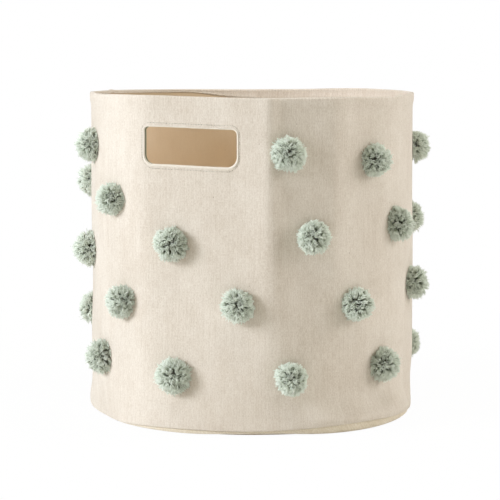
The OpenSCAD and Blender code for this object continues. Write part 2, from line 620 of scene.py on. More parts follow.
@dataclass
class WallForm:
    """Where every cloth of the wall lies: a radius and a lift for each place on the flat wall.

    Folds, flats and wanders are as the bin came out of its packing, and the
    wanders start at the front hand hole and go round by the right.
    """

    sizes: Sizes
    ties: list[tuple[float, float]]
    windows: list[Window]

    # Creases: azimuth, low, full, swell, crest, reach left and right, lean.
    folds: tuple[Fold, ...] = (
        Fold(27.2, 0.095, 0.215, 0.8 * MM, 3 * MM, 9 * MM, 12 * MM),
        Fold(45.5, 0.272, 0.303, 1.0 * MM, 3 * MM, 9 * MM, 7 * MM),
        Fold(55.0, 0.265, 0.300, 0.9 * MM, 2 * MM, 9 * MM, 6 * MM),
        Fold(19.5, 0.200, 0.300, 0.45 * MM, 3 * MM, 6 * MM, 5 * MM),
        Fold(-31.0, 0.200, 0.310, -0.5 * MM, 6 * MM, 14 * MM, 12 * MM, 0.04),
        Fold(-118.0, 0.120, 0.300, 2.2 * MM, 8 * MM, 34 * MM, 30 * MM, 0.03),
        Fold(112.0, 0.030, 0.060, 2.0 * MM, 18 * MM, 26 * MM, 26 * MM),
        Fold(-160.0, 0.210, 0.310, -1.0 * MM, 7 * MM, 16 * MM, 16 * MM),
        Fold(157.5, 0.300, 0.314, -0.9 * MM, 2 * MM, 3 * MM, 3 * MM),
        Fold(152.0, 0.298, 0.314, 0.8 * MM, 2 * MM, 3 * MM, 3 * MM),
    )
    # Flattened stretches: azimuth, half width in degrees, rise, reach, low, full.
    flats: tuple[Flat, ...] = (
        Flat(39.0, 11.2, 2.2 * MM, 24 * MM, 0.060, 0.205, dent=4.5 * MM, widen=2.5, ease=0.45),
        Flat(4.5, 23.0, 0.0, 20 * MM, -0.060, 0.140, flatness=0.8, soften=4.5 * MM),
        Flat(62.0, 11.5, 0.0, 20 * MM, 0.060, 0.240, flatness=0.6, soften=3.5 * MM),
        Flat(141.0, 11.0, 1.0 * MM, 24 * MM, 0.080, 0.260, soften=3.2 * MM),
    )
    # Soft bumps, of which a share is left at the floor.
    bumps: tuple[Unevenness, ...] = (
        Unevenness(92 * MM, 120 * MM, 1.3 * MM, 11),
        Unevenness(40 * MM, 95 * MM, 0.60 * MM, 12),
        Unevenness(22 * MM, 34 * MM, 0.36 * MM, 13),
    )
    bumps_at_floor: float = 0.35
    bumps_from: float = 2 * MM
    bumps_over: float = 60 * MM

    # The wall is thinner under the hem, and a little narrower at half height on the left.
    hem_step: float = 1.2 * MM
    hem_step_at: float = 4 * MM
    hem_step_over: float = 7 * MM
    hem_step_low: float = 0.25
    hem_step_low_z: float = 0.120
    hem_step_full_z: float = 0.300
    waist: float = 2.2 * MM
    waist_azimuth: float = -75.0
    waist_z: float = 0.150
    waist_reach: float = 0.060
    flare: Wander = Wander((
        2.6, 2.0, 3.0, 8.5, 13.0, 11.0, 6.0, 1.0, 1.5, 2.6, 2.6, 2.6,
        2.6, 2.6, 2.6, 2.6, 2.6, 2.6, 3.0, 4.5, 1.0, -3.0, -1.0, 1.5,
    ))
    flare_z: float = 9 * MM
    flare_reach: float = 15 * MM

    # Sewing: dimples at the ties, the lapped side seam, and the ground round each window.
    tie_dimple: float = 1.1 * MM
    tie_reach: float = 11 * MM
    side_seam: float = -93.0
    side_seam_rise: float = 0.7 * MM
    side_seam_half: float = 5 * MM
    side_seam_edge: float = 1.2 * MM
    stitch_away: Margins = (2.4 * MM, 2.4 * MM, 3.2 * MM, 4.0 * MM)
    sewn: tuple[Ridge, ...] = (Ridge(0.25 * MM, -1.8 * MM, 1.3 * MM),
                               Ridge(-0.22 * MM, 0.0, 1.0 * MM))
    pucker: Unevenness = Unevenness(8 * MM, 8 * MM, 0.55 * MM, 14)
    pucker_at: float = 1.5 * MM
    pucker_reach: float = 5 * MM

    # Rise and fall of the edges and seams.
    rim_rise: Wander = Wander((
        2.0, 2.0, 1.6, 1.3, 0.7, -0.4, 1.0, 1.9, 1.8, 2.0, 1.8, 1.2,
        0.5, 0.6, 0.4, 0.5, 0.7, 1.3, 1.7, 2.0, 2.8, 1.9, 2.2, 2.1,
    ))
    rim_reach: float = 32 * MM
    lap_rise: float = 0.9 * MM
    hem_rise: Wander = Wander((
        -1.3, -1.3, -1.3, -1.5, -2.0, -2.4, -2.6, -2.8, -3.0, -3.0, -2.8, -2.4,
        -2.1, -2.4, 0.8, 6.0, 6.4, 6.4, 6.4, 6.0, 3.0, 0.0, -1.3, -1.3,
    ))
    hem_reach: float = 20 * MM
    hem_depth: float = 2.6 * MM
    hem_blend: float = 0.5 * MM
    seam_rise: Wander = Wander((
        -0.6, -2.1, -1.6, 2.5, 4.4, 2.4, 0.5, -0.4, 0.3, 0.9, 0.2, -0.6,
        0.1, 0.8, 0.4, -0.5, -0.2, 0.4, -0.8, -1.6, -3.4, -4.0, -3.9, -1.6,
    ))
    base_rise: Wander = Wander((
        0.1, 1.7, 2.3, 0.4, 0.0, 0.1, 0.5, 0.0, 0.0, 0.4, 0.0, 0.0,
        0.3, 0.0, 0.0, 0.5, 0.0, 0.0, 0.4, 0.0, 0.0, 0.3, 0.0, 0.0,
    ))
    seam_reach: float = 22 * MM
    seam_depth: float = 3.5 * MM
    seam_blend: float = 4.5 * MM
    skew: float = -0.030
    skew_reach: float = 80 * MM
    skew_low: float = 0.200
    skew_blend: float = 0.060

    def radius(self, u: Array, z: Array) -> Array:
        """Radius of the canvas's outer face.

        It is the plain radius, less a step below the thicker hem, which is full
        high up and a share of that low down, and a waist at half height on the
        left, plus a flare over the base, the folds, flats and bumps, the lapped
        side seam, a dimple at each pompom's tie, and the ridges and puckers round
        each sewn window.

        Args:
            u: arc lengths.
            z: heights.

        Returns:
            The radii, in metres.
        """
        s = self.sizes
        u, z = np.broadcast_arrays(u, z)
        hem_end = s.height - s.hem_drop - self.hem_step_at
        below = 1 - smooth((z - hem_end) / self.hem_step_over)
        up = smooth((z - self.hem_step_low_z) / (self.hem_step_full_z - self.hem_step_low_z))
        step = self.hem_step * below * (self.hem_step_low + (1 - self.hem_step_low) * up)
        left = 0.5 + 0.5 * np.cos(u / s.radius - math.radians(self.waist_azimuth))
        waist = self.waist * left * bell(z, self.waist_z, self.waist_reach)
        flare = self.flare.at(s, u) * bell(z, self.flare_z, self.flare_reach)
        r = s.radius - step - waist + flare
        for form in (*self.folds, *self.flats):
            r = r + form.offset(s, u, z)
        settled = smooth((z - self.bumps_from) / self.bumps_over)
        share = self.bumps_at_floor + (1 - self.bumps_at_floor) * settled
        for bump in self.bumps:
            r = r + bump.offset(s, u, z) * share
        lap = self.side_seam_half - np.abs(self._from_seam(u))
        r = r + self.side_seam_rise * smooth(lap / self.side_seam_edge)
        for tie_u, tie_z in self.ties:
            away = (wrapped(u - tie_u, s.girth) ** 2 + (z - tie_z) ** 2) / self.tie_reach**2
            r = r - self.tie_dimple * np.exp(-away)
        for window in self.windows:
            sewn = window.grown(*self.stitch_away).margin(u, z, s.girth)
            for ridge in self.sewn:
                r = r + ridge.at(sewn)
            r = r + self.pucker.offset(s, u, z) * bell(sewn, self.pucker_at, self.pucker_reach)
        return r

    def _from_seam(self, u: Array) -> Array:
        """Arc lengths from the side seam's middle."""
        return wrapped(u - self.sizes.arc(self.side_seam), self.sizes.girth)

    def lift(self, u: Array, z: Array, depth: Array) -> Array:
        """How far each place is above its plain height.

        The rim's rise, with the lap of the side seam, fades below the rim. The
        seam's rise fades above the seam and inwards, and the base's rise does so
        too but lifts the floor fully. The hem's rise grows evenly from the fold to
        the hem's lower edge and fades below it. Each hand hole leans: its lift is
        skew times the distance from its middle, faded as a bell.

        Args:
            u: arc lengths.
            z: heights.
            depth: distances in from the canvas's face.

        Returns:
            Lifts, in metres.
        """
        s = self.sizes
        near = 1 - smooth((depth - self.seam_depth) / self.seam_blend)
        above = np.exp(-np.maximum(z - s.seam_z, 0.0) / self.seam_reach)
        by_seam = np.minimum(z / s.seam_z, 1.0) * above
        by_rim = smooth((z - (s.height - self.rim_reach)) / self.rim_reach)
        inside = smooth((depth - self.hem_depth) / self.hem_blend)
        over = s.height - s.fold - z
        by_hem = np.clip(over / (s.hem_drop - s.fold), 0.0, 1.0)
        by_hem = by_hem * np.exp(-np.maximum(over + s.fold - s.hem_drop, 0.0) / self.hem_reach)
        lap = self.lap_rise * bell(self._from_seam(u), 0.0, self.side_seam_half)
        rise = near * self.seam_rise.at(s, u) * by_seam
        rise = rise + (self.rim_rise.at(s, u) + lap) * by_rim
        rise = rise + inside * self.hem_rise.at(s, u) * by_hem
        rise = rise + near * self.base_rise.at(s, u) * above
        for window in self.windows:
            x = wrapped(u - window.u, s.girth)
            fade = np.exp(-(x**2 + (z - window.z) ** 2) / self.skew_reach**2)
            rise = rise + self.skew * x * fade * smooth((z - self.skew_low) / self.skew_blend)
        return rise

    def points(self, u: Array, z: Array, depth: Array) -> Array:
        """Places in the row frame.

        The radius is that of the canvas's face times (R - depth) / R, so depth R
        is the axis.

        Args:
            u: arc lengths.
            z: heights.
            depth: distances in from the canvas's face.

        Returns:
            Points, shape (..., 3).
        """
        s = self.sizes
        u, z, depth = np.broadcast_arrays(u, z, depth)
        r = self.radius(u, z) * (s.radius - depth) / s.radius
        turn = u / s.radius
        return np.stack([r * np.sin(turn), -r * np.cos(turn), z + self.lift(u, z, depth)], -1)

    def outward(self, u: Array) -> Array:
        """Unit vectors straight out of the wall."""
        turn = u / self.sizes.radius
        return np.stack([np.sin(turn), -np.cos(turn), np.zeros_like(turn)], -1)


# ---- cloth with windows


def windowed_grid(us: Array, rows: Array, holes: Sequence[Window], margin: float,
                  rings: int, crowd: float = 1.25) -> tuple[Array, Array]:
    """Quads over a closed tube laid flat, with a clean round-cornered hole for each window.

    The plain grid stops at a rectangle round each hole. Between that rectangle
    and the hole's outline lie rings of quads, each point on the straight line
    from the outline's nearest point to the rectangle's point.

    Args:
        us: arc lengths of the columns, without the closing one.
        rows: places of the rows along the cloth.
        holes: the windows, in (u, row) places.
        margin: least distance from a window to its rectangle.
        rings: rings of quads round each window.
        crowd: power by which the rings crowd towards the window.

    Returns:
        Flat places (n, 2) and quads (m, 4), which face outwards.
    """
    columns, count = len(us), len(rows)
    places = [np.stack(np.meshgrid(us, rows, indexing="ij"), -1).reshape(-1, 2)]
    index = np.arange(columns * count).reshape(columns, count)
    keep = np.ones((columns, count - 1), bool)
    made = columns * count
    faces = []
    for hole in holes:
        beside = np.flatnonzero(np.abs(us - hole.u) <= hole.width / 2 + margin)
        within = np.flatnonzero(np.abs(rows - hole.z) <= hole.height / 2 + margin)
        i0, i1, j0, j1 = beside[0], beside[-1], within[0], within[-1]
        keep[i0:i1, j0:j1] = False
        border = np.concatenate([
            index[i0:i1, j0], index[i1, j0:j1], index[i1:i0:-1, j1], index[i0, j1:j0:-1],
        ])
        outer = places[0][border]
        inner = hole.nearest(outer)
        around = len(border)
        share = (np.arange(rings) / rings)[:, None, None] ** crowd
        places.append((inner + (outer - inner) * share).reshape(-1, 2))
        ring = np.vstack([made + np.arange(rings * around).reshape(rings, around), border])
        made += rings * around
        nxt = np.roll(ring, -1, axis=1)
        faces.append(np.stack([ring[1:], nxt[1:], nxt[:-1], ring[:-1]], -1).reshape(-1, 4))
    after = np.roll(index, -1, axis=0)
    grid = np.stack([index[:, :-1], after[:, :-1], after[:, 1:], index[:, 1:]], -1)
    faces.append(grid[keep])
    used, flat = np.unique(np.concatenate(faces), return_inverse=True)
    return np.concatenate(places)[used], flat.reshape(-1, 4)


@dataclass
class Profile:
    """A cloth's section: its (depth, height) points and the length along them."""

    depth: Array
    z: Array

    @property
    def length(self) -> Array:
        """Distance along the section at each point."""
        steps = np.hypot(np.diff(self.depth), np.diff(self.z))
        return np.concatenate([[0.0], np.cumsum(steps)])

    def rows(self, step: float) -> Array:
        """Distances along the section: those of its points, and more at most a step apart.

        Args:
            step: the widest gap.

        Returns:
            The distances, rising.
        """
        s = self.length
        parts = [np.linspace(a, b, max(2, math.ceil((b - a) / step) + 1))
                 for a, b in zip(s[:-1], s[1:])]
        return np.unique(np.concatenate(parts).round(7))

    def at(self, s: Array) -> tuple[Array, Array]:
        """Depth and height at distances along the section."""
        return np.interp(s, self.length, self.depth), np.interp(s, self.length, self.z)


def arc_points(depth: float, z: float, r: float, start: float, end: float,
               count: int) -> tuple[Array, Array]:
    """An arc of a section: depth - r cos a and z + r sin a, a in degrees."""
    a = np.radians(np.linspace(start, end, count))
    return depth - r * np.cos(a), z + r * np.sin(a)


# ---- shader kit


Colour = tuple[float, float, float, float]
Sockets = dict[str, NodeSocket]


class Shader:
    """A node tree with short ways to add and join nodes."""

    def __init__(self, tree: NodeTree) -> None:
        """Empties the tree and keeps it."""
        self.tree = tree
        tree.nodes.clear()

    def add(self, kind: str, values: dict | None = None, **settings: object) -> Node:
        """A node with its settings and input values.

        Args:
            kind: the node's type, without the ShaderNode prefix.
            values: input socket (name or number) to value, or to the socket that feeds it.
            **settings: the node's own properties.

        Returns:
            The node.
        """
        node = self.tree.nodes.new("ShaderNode" + kind)
        for key, value in settings.items():
            setattr(node, key, value)
        for key, value in (values or {}).items():
            if isinstance(value, NodeSocket):
                self.tree.links.new(value, node.inputs[key])
            else:
                node.inputs[key].default_value = value
        return node

    def maths(self, operation: str, a: object, b: object = 0.0, c: object = 0.0,
              clamp: bool = False) -> NodeSocket:
        """The result of a Math node."""
        values = {0: a, 1: b, 2: c}
        return self.add("Math", values, operation=operation, use_clamp=clamp).outputs[0]

    def spread(self, value: object, low: float, high: float, to_low: float = 0.0,
               to_high: float = 1.0) -> NodeSocket:
        """A value's range low..high brought smoothly to to_low..to_high."""
        values = {"Value": value, "From Min": low, "From Max": high,
                  "To Min": to_low, "To Max": to_high}
        return self.add("MapRange", values, interpolation_type="SMOOTHSTEP").outputs[0]

    def mix(self, amount: object, a: object, b: object, blend: str = "MIX") -> NodeSocket:
        """A colour between a and b."""
        node = self.add("Mix", {0: amount, 6: a, 7: b}, data_type="RGBA", blend_type=blend)
        return node.outputs[2]

    def noise(self, place: object, scale: tuple[float, float, float], detail: float = 2.0,
              rough: float = 0.5) -> NodeSocket:
        """Noise of a place stretched by scale, about 0 to 1."""
        stretched = self.add("VectorMath", {0: place, 1: scale}, operation="MULTIPLY").outputs[0]
        return self.add("TexNoise", {"Vector": stretched, "Scale": 1.0, "Detail": detail,
                                     "Roughness": rough}).outputs["Fac"]

    def group(self, build: Callable[["Shader", Sockets], Sockets], place: NodeSocket,
              **values: float) -> Sockets:
        """A shader group, made on first use and placed with its own values.

        Args:
            build: fills the group, given its shader and its inputs by name, and gives
                its outputs by name. The group has its name.
            place: fed to the group's Place input.
            **values: the group's other inputs, by name.

        Returns:
            The placed group's outputs, by name.
        """
        tree = bpy.data.node_groups.get(build.__name__)
        if tree is None:
            tree = bpy.data.node_groups.new(build.__name__, "ShaderNodeTree")
            inside = Shader(tree)
            tree.interface.new_socket("Place", in_out="INPUT", socket_type="NodeSocketVector")
            for label in values:
                tree.interface.new_socket(label, in_out="INPUT", socket_type="NodeSocketFloat")
            made = build(inside, tree.nodes.new("NodeGroupInput").outputs)
            for label in made:
                tree.interface.new_socket(label, in_out="OUTPUT", socket_type="NodeSocketFloat")
            end = tree.nodes.new("NodeGroupOutput")
            for label, socket in made.items():
                tree.links.new(socket, end.inputs[label])
        return self.add("Group", {"Place": place, **values}, node_tree=tree).outputs


def plain_weave(s: Shader, given: Sockets) -> Sockets:
    """Plain weave: |sin| threads both ways, each on top at every second crossing.

    Args:
        s: the group's shader.
        given: its inputs, Place and Pitch.

    Returns:
        Height of the threads.
    """
    wander = s.add("TexNoise", {"Vector": given["Place"], "Scale": 160.0, "Detail": 1.0})
    shift = s.add("VectorMath", {0: wander.outputs["Color"], 1: (0.5, 0.5, 0.5)},
                  operation="SUBTRACT").outputs[0]
    shift = s.add("VectorMath", {0: shift, 3: 0.0012}, operation="SCALE")
    place = s.add("VectorMath", {0: given["Place"], 1: shift.outputs[0]}).outputs[0]
    axes = s.add("SeparateXYZ", {0: place})
    waves = []
    for axis in (0, 1):
        turns = s.maths("DIVIDE", axes.outputs[axis], given["Pitch"])
        waves.append(s.maths("SINE", s.maths("MULTIPLY", turns, math.pi)))
    product = s.maths("MULTIPLY", waves[0], waves[1])
    over = s.maths("MULTIPLY_ADD", product, 2.5, 0.5, clamp=True)
    warp, weft = (s.maths("ABSOLUTE", wave) for wave in waves)
    under = s.maths("SUBTRACT", 1.0, over)
    return {"Height": s.maths("MULTIPLY_ADD", warp, over, s.maths("MULTIPLY", weft, under))}


def yarn_slubs(s: Shader, given: Sockets) -> Sockets:
    """Uneven yarn: slubs and long streaks up the warp, short ones along the weft, grain.

    Args:
        s: the group's shader.
        given: its input, Place.

    Returns:
        Tone of the yarn, and mask of its slubs.
    """
    warp = s.noise(given["Place"], (1000.0, 150.0, 1.0), 1.0)
    streak = s.noise(given["Place"], (620.0, 13.0, 1.0), 1.0)
    weft = s.noise(given["Place"], (120.0, 900.0, 1.0), 1.0)
    grain = s.noise(given["Place"], (1400.0, 560.0, 1.0), 1.0)
    tone = s.maths("MULTIPLY_ADD", warp, 0.30, s.maths("MULTIPLY", weft, 0.08))
    tone = s.maths("MULTIPLY_ADD", grain, 0.44, tone)
    tone = s.maths("MULTIPLY_ADD", streak, 0.18, tone)
    return {"Tone": s.spread(tone, 0.34, 0.66), "Slub": s.spread(warp, 0.58, 0.74)}


def seed_specks(s: Shader, given: Sockets) -> Sockets:
    """Seed specks: a small disc at some of the cells of a Voronoi pattern.

    Args:
        s: the group's shader.
        given: its inputs, Place and Density.

    Returns:
        Mask of the specks.
    """
    cells = s.add("TexVoronoi", {"Vector": given["Place"], "Scale": given["Density"],
                                 "Randomness": 1.0}).outputs
    chosen = s.add("SeparateColor", {0: cells["Color"]}).outputs
    some = s.maths("GREATER_THAN", chosen[0], 0.45)
    size = s.maths("MULTIPLY_ADD", chosen[1], 0.040, 0.026)
    disc = s.maths("SUBTRACT", 1.0, s.spread(s.maths("DIVIDE", cells["Distance"], size), 0.6, 1.2))
    strength = s.maths("MULTIPLY_ADD", chosen[2], 0.7, 0.3)
    return {"Speck": s.maths("MULTIPLY", s.maths("MULTIPLY", disc, some), strength)}


def broad_mottle(s: Shader, given: Sockets) -> Sockets:
    """Broad soft change of tone, from handling and creasing.

    Args:
        s: the group's shader.
        given: its input, Place.

    Returns:
        Tone.
    """
    broad = s.noise(given["Place"], (14.0, 9.0, 9.0))
    small = s.noise(given["Place"], (70.0, 45.0, 45.0))
    both = s.maths("MULTIPLY_ADD", broad, 0.6, s.maths("MULTIPLY", small, 0.4))
    return {"Tone": s.spread(both, 0.3, 0.7)}


def rgb(red: float, green: float, blue: float) -> Colour:
    """A colour as a screen shows it, 0 to 255, made linear for the shader."""
    parts = (red / 255, green / 255, blue / 255)
    return (*(p / 12.92 if p <= 0.04045 else ((p + 0.055) / 1.055) ** 2.4 for p in parts), 1.0)


@dataclass(frozen=True)
class Finish:
    """A material, made on first use, with a bump from its own height."""

    name: str
    light: Colour
    dark: Colour
    roughness: float = 0.88
    specular: float = 0.2
    bump: float = 0.5
    bump_distance: float = 0.25 * MM
    sheen: float = 0.0
    sheen_roughness: float = 0.5

    def material(self) -> Material:
        """The finish's material.

        Returns:
            The material, with its nodes.
        """
        made = bpy.data.materials.get(self.name)
        if made is None:
            made = bpy.data.materials.new(self.name)
            made.use_nodes = True
            s = Shader(made.node_tree)
            colour, height = self.surface(s)
            bump = s.add("Bump", {"Strength": self.bump, "Distance": self.bump_distance,
                                  "Height": height})
            shader = s.add("BsdfPrincipled", {
                "Base Color": colour, "Roughness": self.roughness, "Normal": bump.outputs[0],
                "Sheen Weight": self.sheen, "Sheen Roughness": self.sheen_roughness,
                "Specular IOR Level": self.specular,
            })
            s.add("OutputMaterial", {"Surface": shader.outputs[0]})
        return made

    def surface(self, s: Shader) -> tuple[NodeSocket, NodeSocket]:
        """Colour and height of the surface."""
        raise NotImplementedError


@dataclass(frozen=True)
class WovenFinish(Finish):
    """Plain-woven cotton cloth, on the piece's own cloth coordinates.

    A painted shade colour darkens the cloth from one height up to another, standing
    in for the shade under the rim along an upper edge.
    """

    # Colour of the seed specks, and of the painted shade in the weave's hollows.
    speck: Colour = rgb(140, 112, 82)
    pitch: float = 0.75 * MM
    speck_density: float = 60.0
    speck_strength: float = 0.6
    streak: float = 0.55
    # Painted shade under an upper edge: its colour, and the heights where it starts and is full.
    painted_rim_shade: Colour | None = None
    painted_shade_from: float = 0.304
    painted_shade_full: float = 0.313

    def surface(self, s: Shader) -> tuple[NodeSocket, NodeSocket]:
        """Colour and height of the cloth.

        Args:
            s: the material's shader.

        Returns:
            Both sockets.
        """
        place = s.add("UVMap", uv_map="cloth").outputs[0]
        weave = s.group(plain_weave, place, Pitch=self.pitch)
        slubs = s.group(yarn_slubs, place)
        specks = s.group(seed_specks, place, Density=self.speck_density)
        mottle = s.group(broad_mottle, place)
        tone = s.maths("MULTIPLY_ADD", slubs["Tone"], self.streak,
                       s.maths("MULTIPLY", mottle["Tone"], 1 - self.streak))
        cloth = s.mix(tone, self.dark, self.light)
        # Painted shade: between two heights the cloth is multiplied by a darker colour, standing in
        # for the shade under the rim.
        if self.painted_rim_shade is not None:
            z = s.add("SeparateXYZ", {0: s.add("TexCoord").outputs["Object"]}).outputs["Z"]
            shaded = s.spread(z, self.painted_shade_from, self.painted_shade_full)
            cloth = s.mix(shaded, cloth, s.mix(1.0, cloth, self.painted_rim_shade, "MULTIPLY"))
        # Painted shade: where the weave's height is low, in its hollows, the cloth takes up to 0.16
        # of the speck colour.
        cloth = s.mix(s.spread(weave["Height"], 0.0, 0.55, 0.16, 0.0), cloth, self.speck)
        spotted = s.maths("MULTIPLY", specks["Speck"], self.speck_strength)
        height = s.maths("MULTIPLY_ADD", slubs["Slub"], 0.6, weave["Height"])
        height = s.maths("MULTIPLY_ADD", slubs["Tone"], 0.35, height)
        return s.mix(spotted, cloth, self.speck), height


@dataclass(frozen=True)
class FeltFinish(Finish):
    """Matted felt or pressed board, on object coordinates."""

    fibre: float = 900.0

    def surface(self, s: Shader) -> tuple[NodeSocket, NodeSocket]:
        """Colour and height of the felt.

        Args:
            s: the material's shader.

        Returns:
            Both sockets.
        """
        place = s.add("TexCoord").outputs["Object"]
        fibres = s.noise(place, (self.fibre,) * 3, 4.0, 0.7)
        clouds = s.noise(place, (45.0, 45.0, 45.0))
        tone = s.maths("MULTIPLY_ADD", fibres, 0.6, s.maths("MULTIPLY", clouds, 0.4))
        return s.mix(s.spread(tone, 0.3, 0.7), self.dark, self.light), fibres


@dataclass(frozen=True)
class YarnFinish(Finish):
    """Cut or twisted yarn, dark at its root as painted shade and light at its tip, in paler and
    plainer strands.

    The cloth coordinates hold a strand's shade and the place along it.
    """

    pale: Colour = rgb(240, 233, 220)
    fleck: float = 0.12

    def surface(self, s: Shader) -> tuple[NodeSocket, NodeSocket]:
        """Colour and height of the yarn.

        Args:
            s: the material's shader.

        Returns:
            Both sockets.
        """
        strand = s.add("SeparateXYZ", {0: s.add("UVMap", uv_map="cloth").outputs[0]}).outputs
        # Painted shade: the colour darkens where v is low, at a pompom yarn's root deep in the ball
        # and at a stitch's ends in its needle holes.
        colour = s.mix(s.spread(strand[1], 0.52, 1.0), self.dark, self.light)
        colour = s.mix(s.spread(strand[0], 0.1, 1.0, 0.0, 0.7), colour, self.pale)
        fibres = s.noise(s.add("TexCoord").outputs["Object"], (2600.0,) * 3, rough=0.6)
        return s.mix(s.spread(fibres, 0.35, 0.7, 0.0, self.fleck), colour, self.dark), fibres


CANVAS = WovenFinish("natural_canvas", rgb(240, 231, 219), rgb(209, 195, 178),
                     speck_density=110.0, streak=0.66, sheen=0.35)
# Lighter than the wall canvas as painted light, standing in for the floor's bounce light on the
# base strip; its yellower tone is the panel's own.
BASE_CANVAS_BRIGHTENED = WovenFinish("base_canvas_painted_light", rgb(249, 240, 222), rgb(224, 209, 184),
                          speck_density=110.0, streak=0.7, sheen=0.3)
# Paler than the canvas partly as a painted highlight on the window's rolled lip; the rest is the
# facing cloth's own tone.
FACING = WovenFinish("canvas_facing", rgb(244, 237, 225), rgb(230, 220, 205), sheen=0.3,
                     speck=rgb(170, 145, 112), speck_density=40.0, speck_strength=0.3)
# Painted shade: a dark olive colour on the facing's dip into the felt, standing in for the shade in
# the window's reveal.
REVEAL_SHADE = WovenFinish("olive_reveal_shade", rgb(140, 142, 116), rgb(118, 120, 96), sheen=0.1,
                      speck=rgb(90, 92, 70), speck_density=40.0, speck_strength=0.2)
# The darker colour near the lining's top is painted shade under the rim, not wear.
LINING = WovenFinish("tan_lining", rgb(247, 228, 201), rgb(238, 217, 188), bump=0.2, sheen=0.15,
                     speck=rgb(160, 130, 98), speck_strength=0.25, pitch=0.6 * MM, streak=0.4,
                     painted_rim_shade=rgb(216, 209, 200))
FELT = FeltFinish("stiff_felt", rgb(240, 238, 233), rgb(222, 219, 211), 0.95,
                  bump_distance=0.3 * MM)
BOARD = FeltFinish("fibreboard", rgb(176, 146, 106), rgb(140, 112, 78), 0.95,
                   bump_distance=0.3 * MM, fibre=1500.0)
# The dark colours of thread and yarn are painted shade at stitch ends and pompom roots.
THREAD = YarnFinish("sewing_thread", rgb(232, 223, 207), rgb(112, 98, 78), 0.9, 0.15,
                    sheen=0.35, sheen_roughness=0.4)
YARN = YarnFinish("sage_yarn", rgb(234, 242, 229), rgb(124, 132, 90), 0.9, 0.15,
                  sheen=0.35, sheen_roughness=0.4, pale=rgb(247, 250, 241))


def dress(piece: Object, finish: Finish, node: str, thickness: float = 0.0) -> None:
    """Gives a new piece its material and thickness, hangs it on the root body, and hides the CAD
    part that it stands for.

    Args:
        piece: the object.
        finish: its finish.
        node: the CAD node that it stands for.
        thickness: thickness of a cloth, behind its face.
    """
    if thickness:
        solid = piece.modifiers.new("thickness", "SOLIDIFY")
        solid.thickness = thickness
        solid.offset = -1.0
        solid.use_even_offset = True
    piece.data.materials.append(finish.material())
    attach(piece, Body.ROOT.value)
    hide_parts(node)
    LOG.info("%s: %d faces, for %s", piece.name, len(piece.data.polygons), node)


# ---- cloths of the wall


@dataclass
class ClothWall:
    """The cloths that go all round: outer canvas, felt core and lining."""

    form: WallForm
    columns: int = 360
    margin: float = 9 * MM
    rings: int = 10
    row_step: float = 3.2 * MM
    turn: float = 0.9 * MM
    cut: Margins = (0.25 * MM, 0.75 * MM, 0.3 * MM, 1.15 * MM)
    under_facing: float = 0.85 * MM
    felt_back: float = 1.2 * MM
    over_lining: float = 0.5 * MM
    # Points of the hem: share of the way down it, and how far it stands off inwards.
    hem: tuple[tuple[float, float], ...] = (
        (0.35, -0.25 * MM), (0.75, 0.25 * MM), (1.0, 0.1 * MM),
    )

    def build(self) -> None:
        """Makes all three cloths."""
        self.canvas()
        self.core()
        self.lining()

    def _tube(self, name: str, profile: Profile, columns: int, step: float,
              cut: Margins, outwards: bool = True) -> Object:
        """A closed tube of cloth with the windows cut in it.

        Its flat grid runs round by u and up by distance along the section, and
        each flat place goes to the form's point at that u, height and depth.

        Args:
            name: the piece's name.
            profile: the cloth's section, from its lower edge to its upper one.
            columns: columns round the bin.
            step: height of a row on straight stretches.
            cut: how much larger than its window each hole is cut, on each side.
            outwards: whether the cloth's face looks out of the bin.

        Returns:
            The object.
        """
        s = self.form.sizes
        us = s.arc(self.form.side_seam) + np.arange(columns) * (s.girth / columns)
        straight = np.argmax(np.diff(profile.z) > s.height / 2)
        zero = profile.length[straight] - profile.z[straight]
        holes = [replace(w, z=w.z + zero).grown(*cut) for w in self.form.windows]
        flat, faces = windowed_grid(us, profile.rows(step), holes, self.margin, self.rings)
        depth, z = profile.at(flat[:, 1])
        if not outwards:
            faces = faces[:, ::-1]
        return Quads(self.form.points(flat[:, 0], z, depth), [faces], flat, s.girth).piece(name)

    def canvas(self) -> None:
        """The outer canvas.

        Section, from inside the base to inside the rim: the seam allowance, the
        turn at the floor, the wall, the half round over the rim, and the hem.
        """
        s = self.form.sizes
        rim = s.fold
        turn = arc_points(self.turn, s.seam_z + self.turn, self.turn, -90, 0, 7)
        over = arc_points(rim, s.height - rim, rim, 0, 180, 13)
        down, off = np.array(self.hem).T
        profile = Profile(
            np.concatenate([[self.turn + s.allowance], turn[0], over[0], 2 * rim + off]),
            np.concatenate([[s.seam_z], turn[1], over[1], s.height - down * s.hem_drop]),
        )
        piece = self._tube("canvas_wall", profile, self.columns, self.row_step, self.cut)
        dress(piece, CANVAS, "outer_wall", s.canvas)

    def core(self) -> None:
        """The sleeve of felt between canvas and lining."""
        s = self.form.sizes
        z = [s.seam_z + self.turn, s.height - s.canvas]
        profile = Profile(np.array([s.canvas, s.canvas]), np.array(z))
        piece = self._tube("wall_core_felt", profile, self.columns // 2, 2 * self.row_step,
                           (self.under_facing + self.felt_back,) * 4)
        dress(piece, FELT, "wall_core", s.core)

    def lining(self) -> None:
        """The lining, whose face looks into the bin."""
        s = self.form.sizes
        z = [s.floor_top - s.lining, s.height - s.hem_drop + self.over_lining]
        profile = Profile(np.array([s.wall, s.wall]), np.array(z))
        piece = self._tube("wall_lining", profile, 2 * self.columns // 3, 1.8 * self.row_step,
                           (self.under_facing,) * 4, outwards=False)
        dress(piece, LINING, "lining_wall", s.lining)


# ---- base


